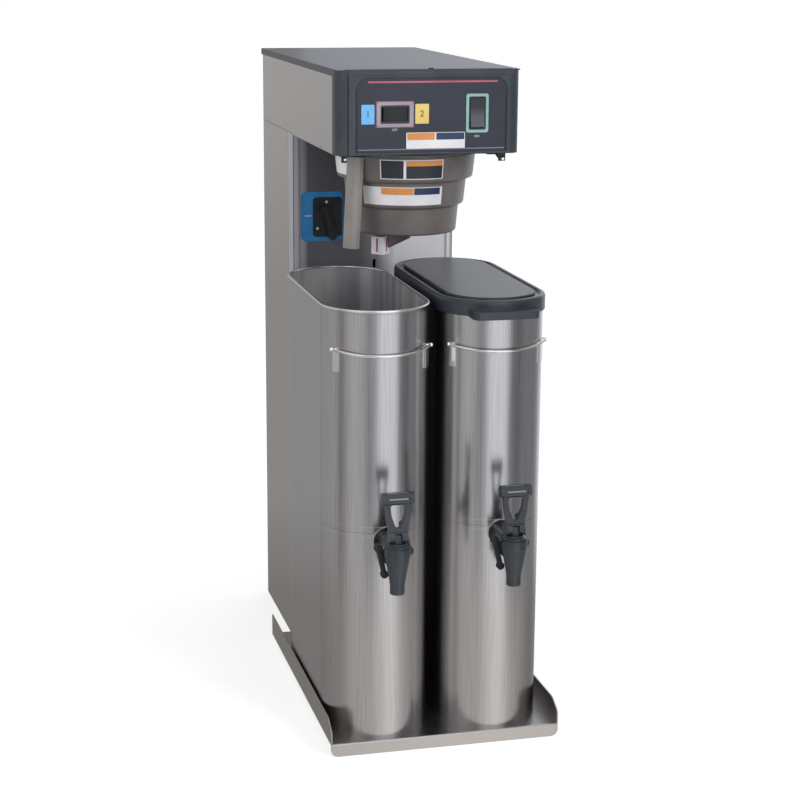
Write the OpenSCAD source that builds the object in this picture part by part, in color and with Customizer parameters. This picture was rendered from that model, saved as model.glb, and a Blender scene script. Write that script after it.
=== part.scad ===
// Twin iced tea brewer for a counter: a tall sheet-metal trunk with an overhanging brew hood,
// a brew funnel hung under the hood on two rails, and two narrow dispensers with faucets
// standing side by side on a drip tray. Millimetres, +Z up, front towards -Y.

/* [Housing] */
// Width of the trunk and of the hood
body_w = 238; // [230:1:240]
// Depth of the trunk, from the back plane to the front flanges
trunk_depth = 235; // [225:1:240]
// Depth of the side panels, up to the seam with the splash panel
side_depth = 200; // [180:1:210]
// Depth of the hood, from the back plane to the control cap
hood_depth = 519; // [510:1:530]
// Height of the seam between the trunk and the hood
hood_z = 768; // [765:1:775]
// Thickness of the stainless sheet
sheet = 1.5; // [1:0.1:2]
// Depth of the splash panel behind its front flanges
splash_recess = 5; // [3:0.5:6]
// Width of the splash panel's front flanges
splash_flange = 8; // [6:1:10]

/* [Lid and cap] */
// Width of the sheet lid on the hood
lid_w = 242; // [241:1:244]
// Depth of the sheet lid
lid_depth = 541; // [538:1:542]
// Height of the lid's top face
lid_top = 876; // [874:1:880]
// Height of the lid's turned-down skirt
lid_skirt = 9; // [6:1:12]
// Width of the moulded control cap
cap_w = 245; // [243:1:248]
// Depth of the control cap
cap_depth = 24; // [22:1:28]
// Radius of the cap's upright corners
cap_r = 16; // [12:1:18]
// Wall of the cap
cap_wall = 4; // [3:0.5:5]
// Depth of the shallow recess that holds the control panel
panel_recess = 1.5; // [0.5:0.1:2]

/* [Controls] */
// Centre of the three-position selector, across
selector_x = -45.6; // [-50:0.1:-40]
// Centre of the selector, up
selector_z = 820; // [815:0.1:825]
// Centre of the start switch, across
start_x = 63.5; // [60:0.1:70]
// Centre of the start switch, up
start_z = 820.3; // [815:0.1:825]
// Tilt of the start rocker at rest, in degrees
start_tilt = 5; // [0:1:6]

/* [Funnel] */
// Distance of the funnel's axis in front of the back plane
funnel_d = 425; // [415:1:430]
// Offset of the funnel's axis from the middle
funnel_x = -2; // [-3:0.5:3]
// Turn of the handle from straight ahead towards the left, in degrees
handle_turn = 56; // [40:1:60]
// Distance of the spout tip from the funnel's axis
tip_reach = 48; // [44:1:50]
// Width of the square tip sleeve
tip_w = 18.5; // [16:0.5:19]
// Wall of the funnel
funnel_wall = 3; // [2:0.5:3.5]

/* [Tray] */
// Width of the drip tray
tray_w = 310; // [308:1:320]
// Front edge of the tray, in front of the back plane
tray_front = 660; // [655:1:670]
// Height of the tray's floor
tray_floor = 17.5; // [15:0.5:20]
// Height of the tray's side flanges
tray_side_top = 47; // [40:1:50]

/* [Dispensers] */
// Width of a dispenser
dispenser_w = 140; // [136:1:142]
// Length of a dispenser
dispenser_len = 348; // [340:1:350]
// Middle of a dispenser, in front of the back plane
dispenser_d = 477; // [474:1:480]
// Centre of the left dispenser
left_x = -81; // [-82:1:-80]
// Centre of the right dispenser
right_x = 72; // [71:1:73]
// Height of the rims
rim_z = 587.5; // [580:0.5:590]
// Wall of a dispenser
shell_wall = 1.2; // [1:0.1:1.5]
// Distance of the faucet's axis in front of the shell
faucet_reach = 60; // [58:1:64]
// Height of the faucet's shank above the counter
shank_z = 289; // [287:1:292]

/* [Bails] */
// Height of the bail pivots
bail_z = 535; // [530:1:540]
// Diameter of the bail wire
wire_d = 3.5; // [3:0.1:4]
// Gap between the wire and the shell
bail_gap = 3.5; // [3:0.1:5]
// Droop of a resting bail below level, in degrees
bail_droop = 8; // [6:1:10]

/* [Hidden] */
$fn = 96;
hull_fn = 32;
thin_fn = 240;
eps = 0.01;
far = 1000;

// places that several pieces share
side_x = body_w / 2;
rear_reach = 12;
faucet_y_local = -dispenser_len / 2 - faucet_reach;
collar_r = 16.5;
front_reach = dispenser_d - faucet_y_local + collar_r;
back_y = (front_reach - rear_reach) / 2;
cap_front = hood_depth + cap_depth;
panel_front = cap_front - panel_recess;
splash_face = trunk_depth - splash_recess;
foot_h = 1.5;
floor_z = hood_z - sheet;
inner_top = lid_top - sheet;

// lid screw and cap
screw_x = 5;
screw_d = 530;
screw_r = 4;
screw_h = 1.6;
cap_top = 877;
cap_edge_r = 3;
groove_left = -107;
groove_right = 113;
groove_w = 1.6;
groove_deep = 1.2;
crease_z = 868.8;
cap_pocket_gap = 0.3;

// controls, heights above the floor of the panel's recess
overlay_t = 0.5;
overlay_left = -96.5;
overlay_right = 103.5;
overlay_low = 771.5;
overlay_high = 866;
overlay_r = 17;
overlay_gap = 0.2;
bezel_t = 1.8;
case_face = 1.2;
case_back = 20;
pocket_deep = 9;
rocker_pivot = -3;
rocker_proud = 3.6;
rocker_dip = 2.4;
rocker_back = -4.5;
pin_r = 1.5;
running_gap = 0.05;
pin_len = 1.8;
selector_open = [38.2, 23.3];
selector_frame = [48.1, 31.7];
selector_pocket = [34.6, 17.4];
selector_size = [31.6, 16.6];
start_open = [22.9, 42.5];
start_frame = [29.7, 49.6];
start_pocket = [18.6, 39.2];
start_size = [18, 37];
tab_t = 0.4;
line_t = 0.3;

// tank, tube and the openings in the back
tank_d = 115;
tank_high = 750;
tube_r = 6;
stem_top = 775;
inlet_place = [80, 60];
inlet_r = 5.56;
gland_place = [-70, 60];
gland_r = 9;

// rails and funnel heights
rail_back = 255;
rail_front = 498;
ledge_top = 762.8;
ledge_x = 94;
rail_x = 104;
flange_r = 100;
flange_t = 2;
flange_low = ledge_top + running_gap;
neck_r = 93;
funnel_base = 655;
tip_low = 627;
tip_high = 651;
tip_bore = 5;
tip_twist = 12;

// splash valve, heights above the splash panel's face
lever_x = -73;
lever_z = 659;
lever_tip = [13, -45];
plate_t = 0.8;
face_t = 1.2;
lever_pin_r = 3;

// dispensers, in their own frame with the middle of the oval at the origin
shell_r = dispenser_w / 2;
shell_half = dispenser_len / 2 - shell_r;
front_y = -dispenser_len / 2;
rim_r = shell_r + 1;
floor_high = 285;
floor_low = 276;
bracket_turn = 56;
bail_r = shell_r + bail_gap + wire_d / 2;
pivot_y = shell_half + shell_r * cos(bracket_turn);
pivot_x = shell_r * sin(bracket_turn);
knuckle_r = 3;
bail_pin_r = 1.5;
knuckle_out = sqrt(pow(bail_r - wire_d / 2, 2) - pow(pivot_y - shell_half + knuckle_r, 2)) - 0.4;
shank_r = 8;
nut_y = faucet_y_local + 20;
lever_pivot_z = 312;
lever_axle_r = 1.6;
collar_top = 298;
knuckle_w = 24;
bar_z = 361.5;
lid_skirt_r = 73;
lid_low = 574;
lid_face = 591;
lid_rim_top = 594.5;
panel_top = 596;

// the point this far in front of the back plane
function fwd(d) = back_y - d;
// a quarter arc in an outline, from one angle to another
function arc(cx, cy, r, a0, a1, n = 6) =
    [for (k = [0 : n]) [cx + r * cos(a0 + (a1 - a0) * k / n), cy + r * sin(a0 + (a1 - a0) * k / n)]];
// the same outline run the other way
function backwards(list) = [for (k = [len(list) - 1 : -1 : 0]) list[k]];

// a box between two distances in front of the back plane
module block(x0, x1, d0, d1, z0, z1) {
    translate([x0, fwd(d1), z0]) cube([x1 - x0, d1 - d0, z1 - z0]);
}

// children drawn in x and z, and raised towards the front from this distance
module facing_front(d) {
    translate([0, fwd(d), 0]) rotate([90, 0, 0]) children();
}

// children drawn in depth and height, and raised towards +X
module facing_side(x) {
    translate([x, 0, 0]) rotate([90, 0, 90]) children();
}

module both_sides() {
    children();
    mirror([1, 0, 0]) children();
}

module both_ends() {
    children();
    mirror([0, 1, 0]) children();
}

module rounded_rect(x0, z0, x1, z1, r) {
    translate([x0 + r, z0]) square([x1 - x0 - 2 * r, z1 - z0]);
    translate([x0, z0 + r]) square([x1 - x0, z1 - z0 - 2 * r]);
    for (x = [x0 + r, x1 - r], z = [z0 + r, z1 - r]) translate([x, z]) circle(r);
}

// a rounded rectangle by its size, about its middle
module rounded_plate(size, r) {
    rounded_rect(-size[0] / 2, -size[1] / 2, size[0] / 2, size[1] / 2, r);
}

// an oval solid from its radius-and-height outline: a half turn at each end, a straight run between
module oval(half) {
    both_ends() translate([0, half, 0]) rotate_extrude(angle = 180) children();
    rotate([90, 0, 0]) linear_extrude(2 * half, center = true) {
        children();
        mirror([1, 0, 0]) children();
    }
}

// housing

module top_lid() {
    crease_d = 514;
    crease_w = 1.2;
    crease_deep = 0.4;
    half = lid_w / 2;
    color("dimgray") difference() {
        union() {
            block(-half, half, 0, lid_depth, inner_top, lid_top);
            both_sides() block(half - sheet, half, 0, hood_depth, lid_top - lid_skirt, lid_top);
            block(-half, half, -sheet, 0, lid_top - lid_skirt, lid_top);
        }
        block(-far, far, crease_d, crease_d + crease_w, lid_top - crease_deep, far);
        translate([screw_x, fwd(screw_d), inner_top - eps]) cylinder(r = 2, h = 3);
    }
}

module lid_screw() {
    slot_w = 1;
    shank = 1.9;
    color("#303236") difference() {
        union() {
            translate([screw_x, fwd(screw_d), lid_top]) cylinder(r1 = screw_r, r2 = screw_r - 1, h = screw_h);
            translate([screw_x, fwd(screw_d), inner_top]) cylinder(r = shank, h = sheet);
        }
        translate([screw_x - screw_r, fwd(screw_d) - slot_w / 2, lid_top + screw_h - slot_w])
            cube([2 * screw_r, slot_w, slot_w + eps]);
    }
}

module hood_shell() {
    flange = 12;
    notch_d = 430;
    notch = [3, 2];
    color("silver") difference() {
        union() {
            both_sides() block(side_x - sheet, side_x, 0, hood_depth, hood_z, inner_top);
            block(-side_x, side_x, 0, sheet, hood_z, inner_top);
            both_sides() block(side_x - flange, side_x, hood_depth - sheet, hood_depth, hood_z, inner_top);
        }
        block(-far, far, notch_d, notch_d + notch[0], hood_z - eps, hood_z + notch[1]);
    }
}

module hood_floor() {
    flange = 12;
    spray_hole = 24;
    color("silver") {
        difference() {
            block(-side_x, side_x, trunk_depth, hood_depth, floor_z, hood_z);
            translate([funnel_x, fwd(funnel_d), floor_z - 1]) cylinder(r = spray_hole, h = sheet + 2);
        }
        both_sides() block(side_x - 2 * sheet, side_x - sheet, trunk_depth, hood_depth - sheet,
                           hood_z, hood_z + flange);
    }
}

module vent_slots() {
    slot = [60, 4];
    pitch = 14;
    rows = 8;
    low = 560;
    for (x = [-45, 45], k = [0 : rows - 1])
        translate([x, 0, low + k * pitch]) rotate([90, 0, 0])
            linear_extrude(2 * far, center = true) rounded_plate(slot, slot[1] / 2 - eps);
}

module trunk_shell() {
    color("silver") difference() {
        union() {
            both_sides() block(side_x - sheet, side_x, 0, side_depth, foot_h, hood_z);
            block(-side_x, side_x, 0, sheet, foot_h, hood_z);
        }
        intersection() {
            vent_slots();
            block(-far, far, -1, side_depth / 2, 0, far);
        }
        facing_front(-1) {
            translate(inlet_place) cylinder(r = inlet_r, h = 2 * sheet);
            translate(gland_place) cylinder(r = gland_r, h = 2 * sheet);
        }
    }
}

// the splash panel is one joggled sheet: side return, front flange, step back, recessed face
module splash_panel() {
    slot_x = 2.5;
    slot_z = 576.5;
    slot = [4.6, 13];
    flange_in = side_x - splash_flange;
    color("silver") difference() {
        union() {
            both_sides() {
                block(side_x - sheet, side_x, side_depth, trunk_depth, foot_h, hood_z);
                block(flange_in, side_x, trunk_depth - sheet, trunk_depth, foot_h, hood_z);
                block(flange_in, flange_in + sheet, splash_face - sheet, trunk_depth, foot_h, hood_z);
            }
            block(-flange_in - sheet, flange_in + sheet, splash_face - sheet, splash_face, foot_h, hood_z);
        }
        facing_front(splash_face - 2 * sheet) linear_extrude(4 * sheet)
            translate([slot_x, slot_z]) rounded_plate(slot, 2);
        facing_front(splash_face - 2 * sheet) translate([lever_x, lever_z, 0])
            cylinder(r = lever_pin_r + running_gap, h = 4 * sheet);
    }
}

module base_pan() {
    color("silver") block(sheet - side_x, side_x - sheet, sheet, splash_face - sheet, foot_h, foot_h + sheet);
}

module feet() {
    pad_r = 14;
    color("#222222") for (x = [-95, 95], d = [32, 205])
        translate([x, fwd(d), 0]) cylinder(r = pad_r, h = foot_h);
}

// water path inside the housing

module tank_shelf() {
    shelf_z = 420;
    color("silver") block(sheet - side_x, side_x - sheet, sheet, splash_face - sheet, shelf_z, shelf_z + sheet);
}

module tank() {
    tank_low = 421.5;
    tank_r = 90;
    lip = 5;
    color("lightgray") translate([funnel_x, fwd(tank_d), 0]) rotate_extrude() polygon([
        [0, tank_low], [tank_r, tank_low], [tank_r, tank_high - lip], [tank_r + lip, tank_high - lip],
        [tank_r + lip, tank_high], [tube_r, tank_high], [tube_r, tank_high - sheet],
        [tank_r - sheet, tank_high - sheet], [tank_r - sheet, tank_low + sheet], [0, tank_low + sheet]]);
}

module spray_tube() {
    run_z = 800;
    start = [funnel_x, fwd(tank_d), tank_high - sheet];
    finish = [funnel_x, fwd(funnel_d), stem_top];
    color("lightgray") {
        translate(start) cylinder(r = tube_r, h = run_z - start[2]);
        translate(finish) cylinder(r = tube_r, h = run_z - finish[2]);
        translate([funnel_x, start[1], run_z]) sphere(tube_r);
        translate([funnel_x, finish[1], run_z]) sphere(tube_r);
        translate([funnel_x, start[1], run_z]) rotate([90, 0, 0]) cylinder(r = tube_r, h = start[1] - finish[1]);
    }
}

// the head drops through the hood's floor and hangs there on its collar
module sprayhead() {
    head_r = 22;
    head_low = 765.4;
    head_edge = 0.6;
    seat_r = 30;
    seat_t = 3;
    wall = 1.6;
    stem_r = 10;
    stem_bore = 4;
    hole_r = 1.5;
    hole_ring = 14;
    seat_top = hood_z + seat_t;
    color("#d8d8d8") translate([funnel_x, fwd(funnel_d), 0]) difference() {
        rotate_extrude() polygon([[0, head_low], [head_r - head_edge, head_low], [head_r, head_low + head_edge],
            [head_r, hood_z], [seat_r, hood_z], [seat_r, seat_top], [stem_r, seat_top], [stem_r, stem_top],
            [0, stem_top]]);
        translate([0, 0, head_low + wall]) {
            cylinder(r = head_r - wall, h = seat_top - head_low - 2 * wall);
            cylinder(r = stem_bore, h = far);
        }
        for (a = [0 : 60 : 359]) rotate([0, 0, a]) translate([hole_ring, 0, head_low - 1])
            cylinder(r = hole_r, h = 2 * wall);
    }
}

module water_inlet() {
    inside = 6;
    nut_r = 9;
    nut_t = 3;
    bore_r = 3;
    color("#c9a24a") facing_front(-rear_reach) translate(inlet_place) difference() {
        union() {
            cylinder(r = inlet_r, h = rear_reach + inside);
            translate([0, 0, rear_reach - nut_t]) cylinder(r = nut_r, h = nut_t, $fn = 6);
        }
        translate([0, 0, -1]) cylinder(r = bore_r, h = rear_reach);
    }
}

module cord_gland() {
    out = 10;
    collar_t = 3;
    collar = 12;
    tail = 4;
    bore_r = 4;
    color("#202224") facing_front(-out) translate(gland_place) difference() {
        rotate_extrude() polygon([[0, 0], [6.5, 0], [7.5, out - collar_t], [collar, out - collar_t],
            [collar, out], [gland_r, out], [gland_r, out + tail], [0, out + tail]]);
        translate([0, 0, -1]) cylinder(r = bore_r, h = 2 * out);
    }
}

// control cap and panel

// one layer of the cap's outline for its rounded top edge
module cap_layer(inset, height) {
    r = cap_r - inset;
    half = cap_w / 2 - cap_r;
    for (x = [-half, half]) translate([x, fwd(cap_front - cap_r), hood_z])
        cylinder(r = r, h = height, $fn = 64);
    translate([-cap_w / 2 + inset, fwd(hood_depth + 1), hood_z]) cube([cap_w - 2 * inset, 1, height]);
}

// the panel's outline in x and z, round at the top corners only
module panel_outline(inset) {
    left = overlay_left + inset;
    right = overlay_right - inset;
    low = overlay_low + inset;
    high = overlay_high - inset;
    r = overlay_r - inset;
    translate([left, low]) square([right - left, high - r - low]);
    translate([left + r, low]) square([right - left - 2 * r, high - low]);
    for (x = [left + r, right - r]) translate([x, high - r]) circle(r);
}

module control_cap() {
    steps = 4;
    straight = cap_top - hood_z - cap_edge_r;
    pocket_x = lid_w / 2 + cap_pocket_gap;
    color("#373e44") difference() {
        hull() for (k = [0 : steps]) {
            a = 90 * k / steps;
            cap_layer(cap_edge_r * (1 - cos(a)), straight + cap_edge_r * sin(a));
        }
        block(-far, far, 0, hood_depth, 0, far);
        block(cap_wall - cap_w / 2, cap_w / 2 - cap_wall, hood_depth - 1, cap_front - cap_r,
              hood_z + cap_wall, inner_top - cap_wall);
        block(cap_r - cap_w / 2, cap_w / 2 - cap_r, hood_depth, cap_front - cap_wall,
              hood_z + cap_wall, inner_top - cap_wall);
        block(-pocket_x, pocket_x, hood_depth - 1, lid_depth, inner_top, far);
        for (x = [groove_left, groove_right])
            block(x - groove_w / 2, x + groove_w / 2, cap_front - groove_deep, cap_front + 1,
                  hood_z - 1, crease_z + groove_w);
        block(groove_left, groove_right, cap_front - groove_deep, cap_front + 1, crease_z, far);
        facing_front(panel_front) linear_extrude(cap_wall) panel_outline(0);
        facing_front(cap_front - 2 * cap_wall) {
            translate([selector_x, selector_z, 0]) linear_extrude(20) rounded_plate(selector_open, 2);
            translate([start_x, start_z, 0]) linear_extrude(20) rounded_plate(start_open, 2);
        }
        translate([screw_x, fwd(screw_d), inner_top - 3]) cylinder(r = 1.9, h = 5);
    }
}

module control_overlay() {
    color("#3a3e4b") facing_front(panel_front) linear_extrude(overlay_t) difference() {
        panel_outline(overlay_gap);
        translate([selector_x, selector_z]) rounded_plate(selector_open, 2);
        translate([start_x, start_z]) rounded_plate(start_open, 2);
    }
}

// a thin printed field on the overlay, from one corner to the other
module printed_field(low, high, thick) {
    facing_front(panel_front + overlay_t) linear_extrude(thick)
        rounded_rect(low[0], low[1], high[0], high[1], 1);
}

module accent_line() {
    color("#be6e82") printed_field([-81, 859.6], [90.6, 861.9], line_t);
}

module blue_tab() {
    color("#69aadc") printed_field([-89.4, 807.8], [-72.4, 832.6], tab_t);
}

module yellow_tab() {
    color("#fae18c") printed_field([-18.8, 807.8], [-0.7, 832.9], tab_t);
}

// a raised frame round a switch, about the switch's middle
module bezel(frame, opening) {
    translate([0, 0, overlay_t]) linear_extrude(bezel_t) difference() {
        rounded_plate(frame, 3);
        rounded_plate(opening, 2);
    }
}

module selector_bezel() {
    color("#d7c3be") facing_front(panel_front) translate([selector_x, selector_z, 0])
        bezel(selector_frame, selector_open);
}

module start_bezel() {
    color("#aad7d2") facing_front(panel_front) translate([start_x, start_z, 0])
        bezel(start_frame, start_open);
}

// a switch body with its rocker pocket and the two pivot bores, which run along Y here
module switch_case(opening, pocket, pin_reach) {
    difference() {
        translate([0, 0, -case_back]) linear_extrude(case_back + case_face) rounded_plate(opening, 2);
        translate([-pocket[0] / 2, -pocket[1] / 2, -pocket_deep]) cube([pocket[0], pocket[1], 2 * pocket_deep]);
        translate([0, 0, rocker_pivot]) rotate([90, 0, 0])
            cylinder(r = pin_r + running_gap, h = 2 * pin_reach, center = true);
    }
}

// a rocker with a hollow-ground face, its pivot pins along Y
module rocker(size) {
    half = size[0] / 2;
    low = rocker_back - rocker_pivot;
    steps = 6;
    face = [for (k = [-steps : steps])
        [half * k / steps, rocker_dip + (rocker_proud - rocker_dip) * pow(k / steps, 2) - rocker_pivot]];
    translate([0, 0, rocker_pivot]) {
        rotate([90, 0, 0]) linear_extrude(size[1], center = true)
            polygon(concat([[-half + 2, low], [half - 2, low], [half, 0]], backwards(face), [[-half, 0]]));
        rotate([90, 0, 0]) cylinder(r = pin_r, h = size[1] + 2 * pin_len, center = true);
    }
}

module selector_case() {
    color("#1c1f22") facing_front(panel_front) translate([selector_x, selector_z, 0])
        switch_case(selector_open, selector_pocket, selector_size[1] / 2 + pin_len + 0.2);
}

module selector_rocker() {
    color("#26292d") facing_front(panel_front) translate([selector_x, selector_z, 0]) rocker(selector_size);
}

module start_case() {
    color("#1c1f22") facing_front(panel_front) translate([start_x, start_z, 0]) rotate([0, 0, 90])
        switch_case([start_open[1], start_open[0]], [start_pocket[1], start_pocket[0]],
                    start_size[0] / 2 + pin_len + 0.2);
}

module start_rocker() {
    color("#26292d") facing_front(panel_front) translate([start_x, start_z, rocker_pivot])
        rotate([-start_tilt, 0, 0]) translate([0, 0, -rocker_pivot]) rotate([0, 0, 90])
            rocker([start_size[1], start_size[0]]);
}

// brackets under the cap's corners
module cap_brackets() {
    ear_t = 3;
    right_ear = [101, 110, 755.5];
    left_ear = [-110, -103, 757];
    wedge = [99.5, 10.5];
    wedge_back = 500;
    wedge_low = 759;
    color("#26292c") {
        facing_side(wedge[0]) linear_extrude(wedge[1]) polygon([[fwd(wedge_back), floor_z],
            [fwd(wedge_back), floor_z - 1.5], [fwd(hood_depth), wedge_low], [fwd(hood_depth), floor_z]]);
        for (ear = [left_ear, right_ear])
            block(ear[0], ear[1], hood_depth - ear_t, hood_depth, ear[2], floor_z);
    }
}

module cap_studs() {
    shank = 3;
    color("silver") for (stud = [[105.5, 758.6, 2.6], [-106, 761.5, 2.2]])
        facing_front(hood_depth) translate([stud[0], stud[1], 0]) {
            cylinder(r = stud[2], h = shank);
            translate([0, 0, shank]) cylinder(r1 = stud[2], r2 = stud[2] - 1, h = 1);
        }
}

// a channel rail on each side carries the funnel's rim
module funnel_rails() {
    web = 1;
    color("#1e2022") translate([funnel_x, 0, 0]) both_sides() {
        block(ledge_x, rail_x, rail_back, rail_front, floor_z - web, floor_z);
        block(rail_x - web, rail_x, rail_back, rail_front, ledge_top - web, floor_z);
        block(ledge_x, rail_x, rail_back, rail_front, ledge_top - web, ledge_top);
    }
}

// valve on the splash panel

module valve_plate() {
    low = [-106.5, 612];
    high = [-44.7, 683.5];
    color("#2369a0") facing_front(splash_face) linear_extrude(plate_t) difference() {
        rounded_rect(low[0], low[1], high[0], high[1], 8);
        translate([lever_x, lever_z]) circle(lever_pin_r + running_gap);
    }
}

module valve_face() {
    low = [-89, 618.5];
    high = [-46.2, 675.5];
    color("#23292c") facing_front(splash_face + plate_t) linear_extrude(face_t) difference() {
        rounded_rect(low[0], low[1], high[0], high[1], 4.5);
        translate([lever_x, lever_z]) circle(lever_pin_r + running_gap);
    }
}

module valve_lever() {
    hub_r = 7;
    hub_h = 9;
    arm_t = 4;
    tip_r = 5.5;
    neck = 3.4;
    lift = 0.3;
    reach = norm(lever_tip);
    base = plate_t + face_t + lift;
    color("#3c4146") facing_front(splash_face) translate([lever_x, lever_z, 0]) {
        translate([0, 0, -9]) cylinder(r = lever_pin_r, h = 9 + base);
        translate([0, 0, base]) cylinder(r1 = hub_r, r2 = hub_r - 1, h = hub_h);
        translate([0, 0, base + hub_h - arm_t]) rotate([0, 0, atan2(lever_tip[1], lever_tip[0])])
            linear_extrude(arm_t) {
                polygon([[0, -neck], [reach - tip_r, -tip_r], [reach - tip_r, tip_r], [0, neck]]);
                translate([reach - tip_r, 0]) circle(tip_r);
            }
    }
}

// drip tray: a floor bent down into the front lip, two side flanges with cut-back front ends, a rear lip
module tray() {
    half = tray_w / 2;
    low = tray_floor - sheet;
    back = trunk_depth;
    bend_r = 2.5;
    lip_r = 10;
    rear_half = 100;
    front = fwd(tray_front);
    bend = [front + bend_r, tray_floor - bend_r];
    profile = concat(
        [[fwd(back), low], [fwd(back), tray_floor]], arc(bend[0], bend[1], bend_r, 90, 180, 4),
        [[front, 0], [front + sheet, 0]], arc(bend[0], bend[1], bend_r - sheet, 180, 90, 4));
    lean = 117.5;
    low_r = 8;
    low_c = [front + low_r, 30];
    high_r = 20;
    high_z = tray_side_top - high_r;
    high_c = [low_c[0] - ((high_z - low_c[1]) * sin(lean) + high_r - low_r) / cos(lean), high_z];
    flange_side = concat(
        [[fwd(back), low], [fwd(back), tray_side_top]], arc(high_c[0], high_c[1], high_r, 90, lean, 4),
        arc(low_c[0], low_c[1], low_r, lean, 180), [[front, low]]);
    color("silver") {
        intersection() {
            facing_side(-half) linear_extrude(tray_w) polygon(profile);
            facing_front(back) linear_extrude(tray_front) rounded_rect(-half, 0, half, 3 * tray_floor, lip_r);
        }
        both_sides() facing_side(half - sheet) linear_extrude(sheet) polygon(flange_side);
        block(-rear_half, rear_half, back, back + sheet, 0, tray_floor);
    }
}

// funnel, in its own frame about its axis

function funnel_outside() = concat(
    [[0, funnel_base], [62, funnel_base]],
    arc(65.5, 659, 4, -70, 0, 4),
    [[72, 687], [72.2, 690.5], [78.4, 693.8], [79.4, 696.3], [82, 722.5], [82.4, 725.8],
     [90.4, 729.2], [91.4, 731.5], [94.5, ledge_top - 2], [neck_r, ledge_top - 2],
     [neck_r, flange_low], [flange_r, flange_low], [flange_r, flange_low + flange_t]]);

function funnel_inside() = [
    [neck_r - funnel_wall, flange_low + flange_t], [neck_r - funnel_wall, 753], [88.3, 733.5],
    [87.4, 731.5], [79.4, 728.3], [79, 725.5], [76.3, 698], [75.2, 696.2], [69.2, 693.2], [68.9, 690.2],
    [66.6, 663], [64, 658.2], [0, 658.2]];

module at_funnel() {
    translate([funnel_x, fwd(funnel_d), 0]) rotate([0, 0, 270 - handle_turn]) children();
}

// the spout under the funnel's floor: a slanting bowl that leads to an upright tube
module spout() {
    tube_r = 7;
    slices = [[20, 26, funnel_base], [22, 22.5, 646], [42, tube_r, 634]];
    hull() for (slice = slices) translate([slice[0], 0, slice[2]]) cylinder(r = slice[1], h = 1, $fn = hull_fn);
    translate([tip_reach, 0, tip_low + 1]) cylinder(r = tube_r, h = funnel_base - tip_low);
}

module funnel() {
    rib_n = 12;
    rib = [3, 2, 22];
    color("#62605a") at_funnel() difference() {
        union() {
            rotate_extrude() polygon(concat(funnel_outside(), funnel_inside()));
            spout();
            for (k = [0 : rib_n - 1]) rotate([0, 0, (k + 0.5) * 360 / rib_n])
                translate([62.5, -rib[1] / 2, 658]) cube(rib);
        }
        translate([tip_reach, 0, tip_low - 5]) cylinder(r = tip_bore, h = 50);
    }
}

module grip_slice(r, z) {
    translate([r, 0, z]) linear_extrude(0.5)
        polygon([[-4.5, -12], [2, -12], [6, -6.5], [6, 6.5], [2, 12], [-4.5, 12]]);
}

module funnel_handle() {
    color("#8d8885") at_funnel() difference() {
        union() {
            hull() {
                grip_slice(98.5, 760);
                grip_slice(100.5, 730);
            }
            hull() {
                grip_slice(100.5, 730);
                grip_slice(107, 641);
            }
            translate([86, -9, 733]) cube([12, 18, 27]);
        }
        rotate_extrude() polygon(concat(funnel_outside(), [[0, flange_low + flange_t]]));
    }
}

module funnel_tip() {
    color("#f2f2f4") at_funnel() difference() {
        translate([tip_reach, 0, tip_low]) rotate([0, 0, tip_twist]) linear_extrude(tip_high - tip_low)
            rounded_plate([tip_w, tip_w], 1);
        spout();
        translate([tip_reach, 0, tip_low - 5]) cylinder(r = tip_bore, h = 50);
    }
}

// dispensers, each drawn about the middle of its oval

module at_station(x) {
    translate([x, fwd(dispenser_d), 0]) children();
}

module front_round(r, z0, z1) {
    translate([0, -shell_half, z0]) cylinder(r = r, h = z1 - z0);
}

module dispenser_shell() {
    r = shell_r;
    inner = shell_r - shell_wall;
    bead = 0.2;
    beads = [for (z = [291, 304]) each [[r, z], [r + bead, z + bead], [r + bead, z + 2 - bead], [r, z + 2]]];
    color("silver") difference() {
        oval(shell_half) polygon(concat(
            [[inner, tray_floor], [r, tray_floor]], beads,
            [[r, rim_z - 5], [rim_r, rim_z - 4.4], [rim_r, rim_z - 0.6], [rim_r - 0.6, rim_z], [inner, rim_z]]));
        translate([0, front_y + 10, shank_z]) rotate([90, 0, 0]) cylinder(r = shank_r, h = 20);
    }
}

// the vessel's bottom slopes down to the faucet
module dispenser_floor() {
    inner = shell_r - shell_wall;
    slope = atan((floor_high - floor_low) / dispenser_len);
    color("silver") intersection() {
        oval(shell_half) polygon([[0, floor_low - 10], [inner, floor_low - 10],
            [inner, floor_high + 10], [0, floor_high + 10]]);
        translate([0, 0, (floor_high + floor_low) / 2]) rotate([slope, 0, 0])
            translate([-far / 2, -far / 2, -shell_wall]) cube([far, far, shell_wall]);
    }
}

// one bail bracket: a plate that follows the shell, with a knuckle for the wire's end
module bail_bracket() {
    plate = [10, 32];
    plate_low = 506;
    thick = 2.2;
    $fn = thin_fn;
    difference() {
        union() {
            translate([0, -shell_half, 0]) rotate([0, 0, bracket_turn - 90])
                translate([shell_r - 3, -plate[0] / 2, plate_low]) cube([3 + thick, plate[0], plate[1]]);
            translate([pivot_x - 1, -pivot_y, bail_z]) rotate([0, 90, 0])
                cylinder(r = knuckle_r, h = knuckle_out - pivot_x + 1);
        }
        front_round(shell_r, plate_low - 1, plate_low + plate[1] + 10);
        translate([pivot_x - 5, -pivot_y, bail_z]) rotate([0, 90, 0])
            cylinder(r = bail_pin_r + running_gap, h = 40);
    }
}

module dispenser_brackets() {
    color("silver") both_ends() both_sides() bail_bracket();
}

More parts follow.
